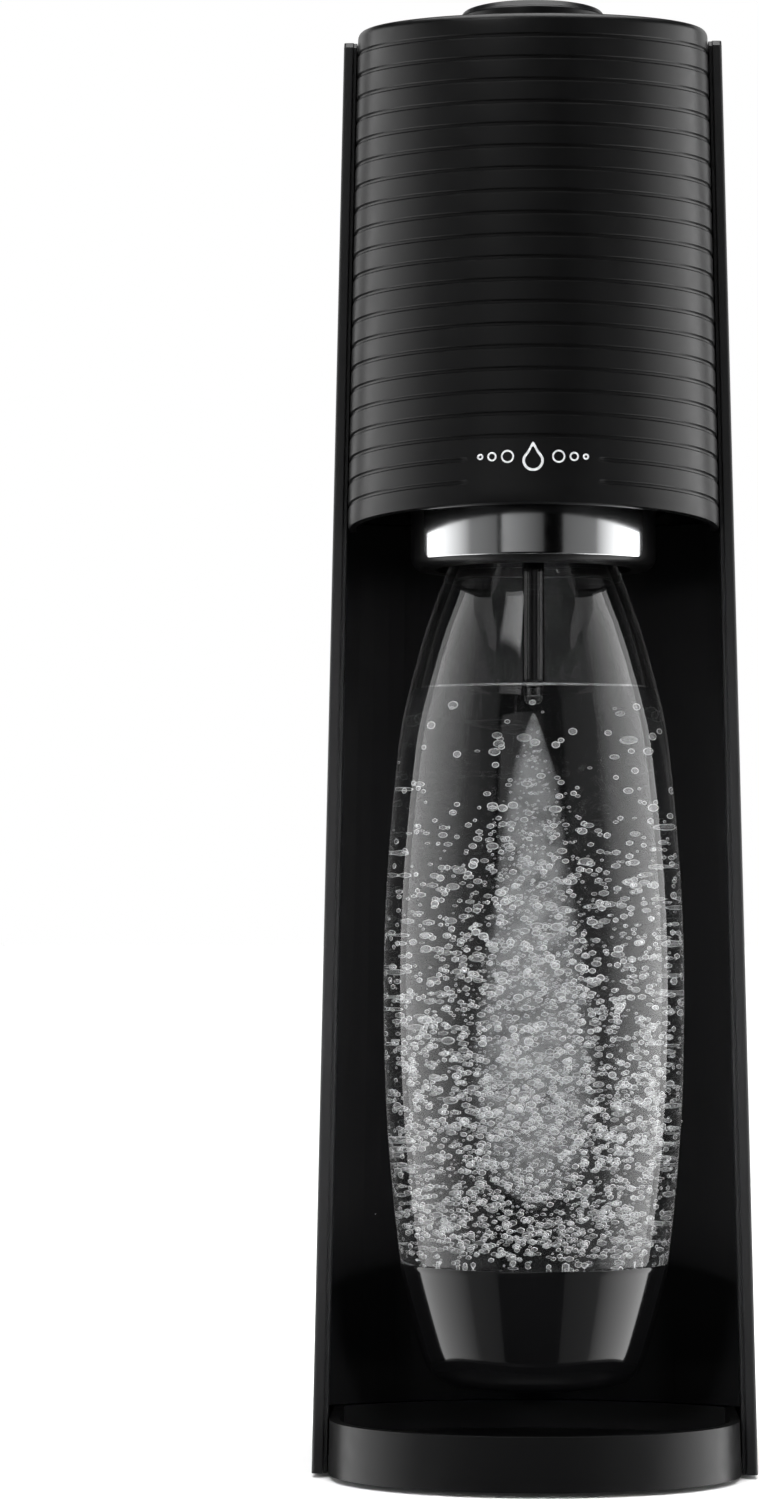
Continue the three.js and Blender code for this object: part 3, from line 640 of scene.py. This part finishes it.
def make_nozzle():
    """A ribbed dip tube with a small clear cup at its tip."""
    segments, ribs, rib_depth = 72, 9, 0.22
    low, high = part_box("nozzle_tube")
    levels = [(low.z, 2.0), (low.z + 4 * MM, 2.4), (low.z + 4.6 * MM, 3.2),
              (low.z + 6 * MM, 3.35), (313.4 * MM, 3.35), (314.3 * MM, 5), (high.z, 5)]
    points = []
    for height, radius in levels:
        depth = rib_depth if 3 < radius < 4 else 0  # only the shaft is ribbed
        for k in range(segments):
            turn = 2 * math.pi * k / segments
            reach = (radius - depth * (0.5 + 0.5 * math.cos(turn * ribs))) * MM
            points.append((BOTTLE_AT.x + reach * math.sin(turn),
                           BOTTLE_AT.y - reach * math.cos(turn), height))
    faces = grid_faces(len(levels), segments, column_loop=True)
    faces += [tuple(range(segments)), tuple(range(len(points) - segments, len(points)))]
    add_mesh("dip_tube", points, faces, GLOSS_BLACK, "holder", replaces=["nozzle_tube"],
             slot="matt_black", angle=50)
    low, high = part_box("nozzle_tip")
    base, top = low.z / MM, high.z / MM
    cup = rounded([
        (0, base), (1.3, base), (2.05, base + 1.2), (2.05, top), (1.5, top),
        (1.5, base + 2), (0, base + 1.6),
    ], [0, 0.4, 0.4, 0.2, 0.2, 0.3, 0])
    turned("tip_cup", cup, BOTTLE_AT, CLEAR, "holder", segments=40,
           replaces=["nozzle_tip"], slot="clear")


# Outside of the clear bottle above its base cup, as (radius, height) in mm.
BOTTLE_SIDE = [
    (39.9, 64), (41.8, 80), (43.6, 100.5), (44.5, 119), (44.95, 146), (44.4, 168.3),
    (43.3, 187.2), (41.5, 207.3), (39.1, 226.2), (33.6, 248), (29.3, 261), (24.2, 273.8),
    (20.3, 279),
]
# Its rounded foot inside the base cup, outside and inside.
FOOT_OUTSIDE = [(0, 31.6), (16, 31.6), (25, 33.6), (31, 38.8), (35.6, 50), (38.2, 61)]
FOOT_INSIDE = [(0, 35), (14, 35), (22, 36.6), (28, 41), (32.8, 51), (36, 62)]
CUP_SIDE = [
    (22.5, 27), (27.4, 28), (30.9, 30.7), (33.3, 35.4), (35.5, 42.7), (38.2, 53.1), (40.55, 63.2),
]
WALL = 3.4  # of the bottle, in mm
WATER_TOP = 234.7
LOOSE_BUBBLES, DENSE_BUBBLES, FINE_BUBBLES = 460, 3200, 2400


def bottle_radius(height):
    """Outer radius of the bottle at a height, both in mm."""
    for (r0, z0), (r1, z1) in zip(BOTTLE_SIDE, BOTTLE_SIDE[1:]):
        if z0 <= height <= z1:
            return r0 + (r1 - r0) * (height - z0) / (z1 - z0)
    return BOTTLE_SIDE[0][0]


def make_bottle():
    outside = smooth_line(BOTTLE_SIDE)
    # the shoulder's inside sits a little higher, which makes its wall a little thinner
    inside = [(radius - WALL, height + (0.8 if height > 240 else 0)) for radius, height in outside]
    neck = rounded([
        (16.3, 280.6), (16, 283.2), (18.4, 283.8), (18.4, 286), (15.8, 286.6), (15.8, 289.5),
        (13.4, 289.5), (13.4, 283),
    ], 0.4, 3)
    foot_outside, foot_inside = smooth_line(FOOT_OUTSIDE, 4), smooth_line(FOOT_INSIDE, 4)
    profile = foot_outside + outside + neck + inside[::-1] + foot_inside[::-1]
    bottle = turned("clear_bottle", profile, BOTTLE_AT, CLEAR, "bottle", segments=128,
                    replaces=["bottle_body"], slot="clear", angle=40)
    bottle.visible_shadow = False  # light reaches what is inside
    cup_out = smooth_line(CUP_SIDE)
    cup_in = [(radius - 1.8, height + 1) for radius, height in reversed(cup_out[3:])]
    rim = [(40.4, 63.65), (39, 63.7)]
    profile = [(0, 28.4), (19, 28.4), (20.5, 27), *cup_out, *rim, *cup_in[1:], (0, 30.4)]
    turned("base_cup", profile, BOTTLE_AT, GLOSS_BLACK, "bottle", segments=128,
           replaces=["bottle_base_cup"], slot="gloss_black", angle=40)


def make_water():
    into = 0.1  # the water reaches this far into the wall, so that no film of air shows
    side = [
        (radius - WALL + into, height) for radius, height in smooth_line(BOTTLE_SIDE)
        if height < WATER_TOP - 0.6
    ]
    edge = bottle_radius(WATER_TOP) - WALL + into
    foot = smooth_line([
        (radius + (into if radius > 22 else 0), height - into) for radius, height in FOOT_INSIDE
    ], 4)
    top = [(edge, WATER_TOP), (edge - 0.8, WATER_TOP - 0.7), (edge - 2.2, WATER_TOP - 1),
           (0, WATER_TOP - 1)]
    water = turned("water", foot + side + top, BOTTLE_AT, WATER, "bottle", segments=128, angle=50)
    water.visible_shadow = False


def ball(detail):
    """Points and faces of a small sphere of radius 1."""
    shape = bmesh.new()
    bmesh.ops.create_icosphere(shape, subdivisions=detail, radius=1)
    shape.verts.ensure_lookup_table()
    points = [v.co.copy() for v in shape.verts]
    faces = [tuple(v.index for v in f.verts) for f in shape.faces]
    shape.free()
    return points, faces


def add_bubbles(name, spots, detail):
    """One piece of many bubbles; spots are (place in mm, radius in mm)."""
    shape_points, shape_faces = ball(detail)
    points, faces = [], []
    for (x, y, z), radius in spots:
        start = len(points)
        wide, tall = radius * 1.08, radius * 0.9
        for p in shape_points:
            points.append((BOTTLE_AT.x + (x + p.x * wide) * MM,
                           BOTTLE_AT.y + (y + p.y * wide) * MM, (z + p.z * tall) * MM))
        faces += [tuple(start + k for k in face) for face in shape_faces]
    add_mesh(name, points, faces, BUBBLE, "bottle", angle=180)


def random_spot(chance, reach, low, high):
    """A random place in the water between two heights, within reach of its axis."""
    height = chance.uniform(low, high)
    limit = min(reach, bottle_radius(height) - WALL - 1.6)
    turn, distance = chance.uniform(0, 2 * math.pi), limit * math.sqrt(chance.random())
    return (distance * math.cos(turn), distance * math.sin(turn), height)


def make_bubbles():
    """Loose bubbles below the surface, a dense mass lower down and a jet from the nozzle."""
    chance = random.Random(7)
    loose, dense, fine = [], [], []
    for _ in range(LOOSE_BUBBLES):
        height = WATER_TOP - 6 - 130 * chance.random() ** 0.75
        x, y, z = random_spot(chance, 60, height - 3, height + 3)
        loose.append(((x, y, min(z, WATER_TOP - 3)), chance.uniform(0.4, 1.35)))
    for _ in range(DENSE_BUBBLES):
        height = 64 + 135 * chance.random() * chance.random() ** 0.4
        dense.append((random_spot(chance, 60, height, height + 4), chance.uniform(0.35, 1.1)))
    for _ in range(FINE_BUBBLES):
        down = chance.random() ** 0.6
        height = 222 - 150 * down
        reach = 1.6 + 30 * down**0.9
        x, y = (chance.gauss(0, reach / 2) for _ in range(2))
        fine.append(((x, y, height), chance.uniform(0.16, 0.42)))
    add_bubbles("loose_bubbles", loose, 2)
    add_bubbles("dense_bubbles", dense, 1)
    add_bubbles("bubble_jet", fine, 1)
    cone = smooth_line([(0, 225.5), (1, 224), (3, 218), (5.6, 208), (7.2, 198), (8, 188),
                        (10, 172), (12.5, 152), (15, 130), (15, 108), (10, 88), (0, 80)])
    turned("jet_mist", cone, BOTTLE_AT, MIST, "bottle", segments=64)


# ---------------------------------------------------------------- gas cylinder
def make_cylinder():
    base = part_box("cylinder_body")[0].z / MM
    profile = rounded([
        (0, base), (26, base), (29, base + 1.4), (30, base + 4.5), (30, 301), (28.5, 312.5),
        (23.5, 324), (17, 333), (15.8, 339), (9, 339), (9, 327), (13, 323), (24.5, 309),
        (26.5, 299), (26.5, base + 7), (22, base + 3.5), (0, base + 3.5),
    ], [0, 2, 2, 3, 12, 9, 8, 5, 1, 1, 2, 4, 6, 6, 4, 4, 0])
    turned("gas_cylinder", profile, CYLINDER_AT, ALUMINIUM, "machine",
           replaces=["cylinder_body"], slot="aluminium")
    low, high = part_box("cylinder_sleeve")
    inner, bottom, top = SLEEVE_RADIUS - 0.5, low.z / MM, high.z / MM
    sleeve = [(inner, bottom), (SLEEVE_RADIUS, bottom), (SLEEVE_RADIUS, top), (inner, top)]
    turned("sleeve", sleeve, CYLINDER_AT, SLEEVE, "machine", replaces=["cylinder_sleeve"],
           slot="printed_sleeve")


# ---------------------------------------------------------------- pieces that keep the CAD's shape
REFINED = {
    "machine": [
        ("base_plinth", MATT_BLACK, 0.7), ("base_plate", INNER_BLACK, 0.3),
        ("cylinder_cradle", INNER_BLACK, 0.4), ("spine", SATIN_BLACK, 0.5),
        ("head_floor", GLOSS_BLACK, 0.3), ("head_frame", INNER_BLACK, 0.3),
        ("top_plate", MATT_BLACK, 0.5), ("valve_block", GREY, 0.5), ("tilt_pin", STEEL, 0.3),
        ("lever_pin", STEEL, 0.2), ("cylinder_valve", BRASS, 0.3), ("relief_valve", BRASS, 0.2),
        ("outlet_fitting", BRASS, 0.2), ("hose_elbow", BRASS, 0.2), ("gas_hose", RUBBER, 0),
    ],
    "lever": [("actuating_lever", STEEL, 0.3)],
    "pusher": [("pusher_pin", STEEL, 0.2)],
    "cylinder_pin": [("valve_pin", STEEL, 0.2)],
    "connector": [("connector_plunger", BRASS, 0.2), ("face_seal", RUBBER, 0.2)],
    "handle": [("lock_handle", PINK, 0.8)],
    "latch": [("latch_button", GREY, 0.5)],
    "holder": [("bottle_seal", RUBBER, 0.4), ("nozzle_nut", STEEL, 0.3)],
}


def round_cover(shape):
    """Cuts the flat facets of the rear cover finely and moves them onto its two ellipses."""
    steps = 96
    wall_between = 0.97  # squared distance from the axis, as a share of the outer ellipse's
    for k in range(1, steps):
        across = HALF_WIDTH * math.cos(math.pi * k / steps)
        bmesh.ops.bisect_plane(
            shape, geom=[*shape.verts, *shape.edges, *shape.faces], dist=1e-6,
            plane_co=(across, 0, 0), plane_no=(1, 0, TAPER * across),
        )
    for vert in shape.verts:
        across, deep = vert.co.x / narrowing(vert.co.z), vert.co.y - COVER_Y
        if deep < 1e-6:
            continue
        outward = (across / HALF_WIDTH) ** 2 + (deep / COVER_BULGE) ** 2
        inset = 0 if outward > wall_between else COVER_WALL
        share = max(1 - (across / (HALF_WIDTH - inset)) ** 2, 0)
        vert.co.y = COVER_Y + (COVER_BULGE - inset) * math.sqrt(share)


def refine_all():
    cover = refined(
        "rear_cover", "cover", MATT_BLACK, change=round_cover,
    )
    soften(cover, 0.5 * MM, 40, clamp=False)
    for body, rows in REFINED.items():
        for node, material, bevel in rows:
            refined(node, body, material, bevel=bevel * MM)
    spring = refined("button_spring", None, STEEL)
    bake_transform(spring)
    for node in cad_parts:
        if "foot_" in node:
            refined(node, "machine", RUBBER, bevel=0.3 * MM)
        if "screw_" in node:
            refined(node, "machine", STEEL, bevel=0.2 * MM)


# ---------------------------------------------------------------- light, floor and camera
def softbox(name, start, end, low, high, radiance, *, lower_fade=0.05):
    """An upright glowing panel, unseen by the camera, from start to end in plan.

    radiance is its light at start and at end. It fades out towards its lower edge and
    ends sharply at its top.
    """
    material, nodes, links = new_material(name)
    nodes.remove(nodes["Principled BSDF"])
    place = nodes.new("ShaderNodeTexCoord")
    split = nodes.new("ShaderNodeSeparateXYZ")
    links.new(place.outputs["UV"], split.inputs["Vector"])
    along = nodes.new("ShaderNodeMapRange")
    along.inputs["To Min"].default_value, along.inputs["To Max"].default_value = radiance
    links.new(split.outputs["X"], along.inputs["Value"])
    fade = nodes.new("ShaderNodeMapRange")
    fade.inputs["From Max"].default_value = lower_fade
    links.new(split.outputs["Y"], fade.inputs["Value"])
    product = nodes.new("ShaderNodeMath")
    product.operation = "MULTIPLY"
    links.new(along.outputs["Result"], product.inputs[0])
    links.new(fade.outputs["Result"], product.inputs[1])
    glow = nodes.new("ShaderNodeEmission")
    links.new(product.outputs["Value"], glow.inputs["Strength"])
    links.new(glow.outputs["Emission"], nodes["Material Output"].inputs["Surface"])
    mesh = bpy.data.meshes.new(name)
    corners = [(*start, low), (*end, low), (*end, high), (*start, high)]
    mesh.from_pydata(corners, [], [(0, 1, 2, 3)])
    layer = mesh.uv_layers.new(name="UVMap")
    for loop, uv in zip(layer.data, ((0, 0), (1, 0), (1, 1), (0, 1))):
        loop.uv = uv
    mesh.materials.append(material)
    panel = bpy.data.objects.new(name, mesh)
    panel.visible_camera = False
    panel.visible_shadow = False
    bpy.context.scene.collection.objects.link(panel)
    return panel


def area_light(name, place, aim, size, power, *, spread=180, reflected=False):
    """A square light that the camera doesn't see, nor, if not reflected, glossy surfaces."""
    light = bpy.data.lights.new(name, "AREA")
    light.shape = "SQUARE"
    light.size = size
    light.energy = power
    light.spread = math.radians(spread)
    lamp = bpy.data.objects.new(name, light)
    lamp.location = place
    lamp.rotation_euler = (Vector(aim) - Vector(place)).to_track_quat("-Z", "Y").to_euler()
    lamp.visible_camera = False
    lamp.visible_glossy = reflected
    lamp.visible_transmission = False
    bpy.context.scene.collection.objects.link(lamp)


# The room's ceiling brightens between these heights of a ray's direction, and by this much.
CEILING_FROM, CEILING_TO = 0.55, 0.9
ROOM_LIGHT, CEILING_LIGHT = 0.15, 3.9


def make_world():
    """White to the camera; to everything else, a dim room under a bright ceiling."""
    world = bpy.data.worlds.new("studio")
    bpy.context.scene.world = world
    world.use_nodes = True
    nodes, links = world.node_tree.nodes, world.node_tree.links
    nodes.clear()
    seen = nodes.new("ShaderNodeBackground")
    seen.inputs["Color"].default_value = (1, 1, 1, 1)
    room = nodes.new("ShaderNodeBackground")
    place = nodes.new("ShaderNodeTexCoord")
    split = nodes.new("ShaderNodeSeparateXYZ")
    height = nodes.new("ShaderNodeMapRange")
    height.interpolation_type = "SMOOTHSTEP"
    height.inputs["From Min"].default_value = CEILING_FROM
    height.inputs["From Max"].default_value = CEILING_TO
    height.inputs["To Min"].default_value = ROOM_LIGHT
    height.inputs["To Max"].default_value = CEILING_LIGHT
    path = nodes.new("ShaderNodeLightPath")
    mix = nodes.new("ShaderNodeMixShader")
    out = nodes.new("ShaderNodeOutputWorld")
    links.new(place.outputs["Generated"], split.inputs["Vector"])
    links.new(split.outputs["Z"], height.inputs["Value"])
    links.new(height.outputs["Result"], room.inputs["Strength"])
    links.new(path.outputs["Is Camera Ray"], mix.inputs["Fac"])
    links.new(room.outputs["Background"], mix.inputs[1])
    links.new(seen.outputs["Background"], mix.inputs[2])
    links.new(mix.outputs["Shader"], out.inputs["Surface"])
    world.cycles_visibility.glossy = False
    world.cycles_visibility.transmission = False


def make_floor():
    reach = 30
    mesh = bpy.data.meshes.new("floor")
    corners = [(-reach, -reach, 0), (reach, -reach, 0), (reach, reach, 0), (-reach, reach, 0)]
    mesh.from_pydata(corners, [], [(0, 1, 2, 3)])
    mesh.materials.append(surface("pale_floor", (0.9, 0.9, 0.9), 0.6, mottle=0.01))
    floor = bpy.data.objects.new("floor", mesh)
    bpy.context.scene.collection.objects.link(floor)
    floor.visible_glossy = False
    floor.visible_transmission = False


def make_lights():
    """Tall softboxes on both sides, dimmer towards the camera, a top light and bottle fills."""
    low, high = -1.6, 0.8  # lower and upper edges of the tall boxes
    for side, share, inner in ((-1, 0.95, (-0.6, -0.98)), (1, 1.25, (0.5, -1.02))):
        corner, rear = (side * 0.8, -0.5), (side * 0.8, 0.45)
        softbox(f"side_box_{side}", corner, rear, low, high, (0.3 * share, 2.5 * share))
        softbox(f"front_box_{side}", inner, corner, low, high, (0.12, 0.21))
        softbox(f"rear_box_{side}", (side * 0.75, 0.7), (side * 0.25, 1.0), 0.1, 1.0, (0.9, 0.7))
        area_light(f"fill_{side}", (side * 0.55, -1.1, 0.3), (0, -0.06, 0.14), 0.12, 0.155,
                   spread=16)
        card = softbox(f"side_card_{side}", (side * 1.5, -1.6), (side * 1.5, 1.6), -1, 1.6,
                       (0.85, 0.85))
        card.visible_glossy = False
        card.visible_diffuse = False
    softbox("upper_strip", (-0.7, -0.95), (-0.27, -1.15), 0.97, 1.45, (1.4, 2.8))
    softbox("camera_box", (-0.8, -1.5), (0.26, -1.6), 0.1, 0.9, (0.32, 0.06))
    area_light("top_box", (0, -0.1, 1.5), (0, -0.1, 0), 1.1, 12, reflected=True)


def make_camera():
    """Level with the lower third of the machine, a little to its left and long in the lens."""
    camera = bpy.data.cameras.new("camera")
    picture_height = 1500
    focal_pixels = 4522.5
    camera.sensor_width = 36
    camera.lens = focal_pixels / picture_height * camera.sensor_width
    camera.clip_start, camera.clip_end = 0.01, 100
    view = bpy.data.objects.new("camera", camera)
    place, target = Vector((0, -1.4, 0.165)), Vector((-0.0460, EDGE_Y, 0.2164))
    view.location = place
    view.rotation_euler = (target - place).to_track_quat("-Z", "Y").to_euler()
    bpy.context.scene.collection.objects.link(view)
    bpy.context.scene.camera = view


make_camera()
make_world()
make_floor()
make_lights()
bpy.context.scene.view_settings.view_transform = "Standard"

make_shroud()
make_emblem()
make_button()
make_panel(-1, "side_panel_left")
make_panel(1, "side_panel_right")
make_holder()
make_nozzle()
make_bottle()
make_water()
make_bubbles()
make_cylinder()
refine_all()
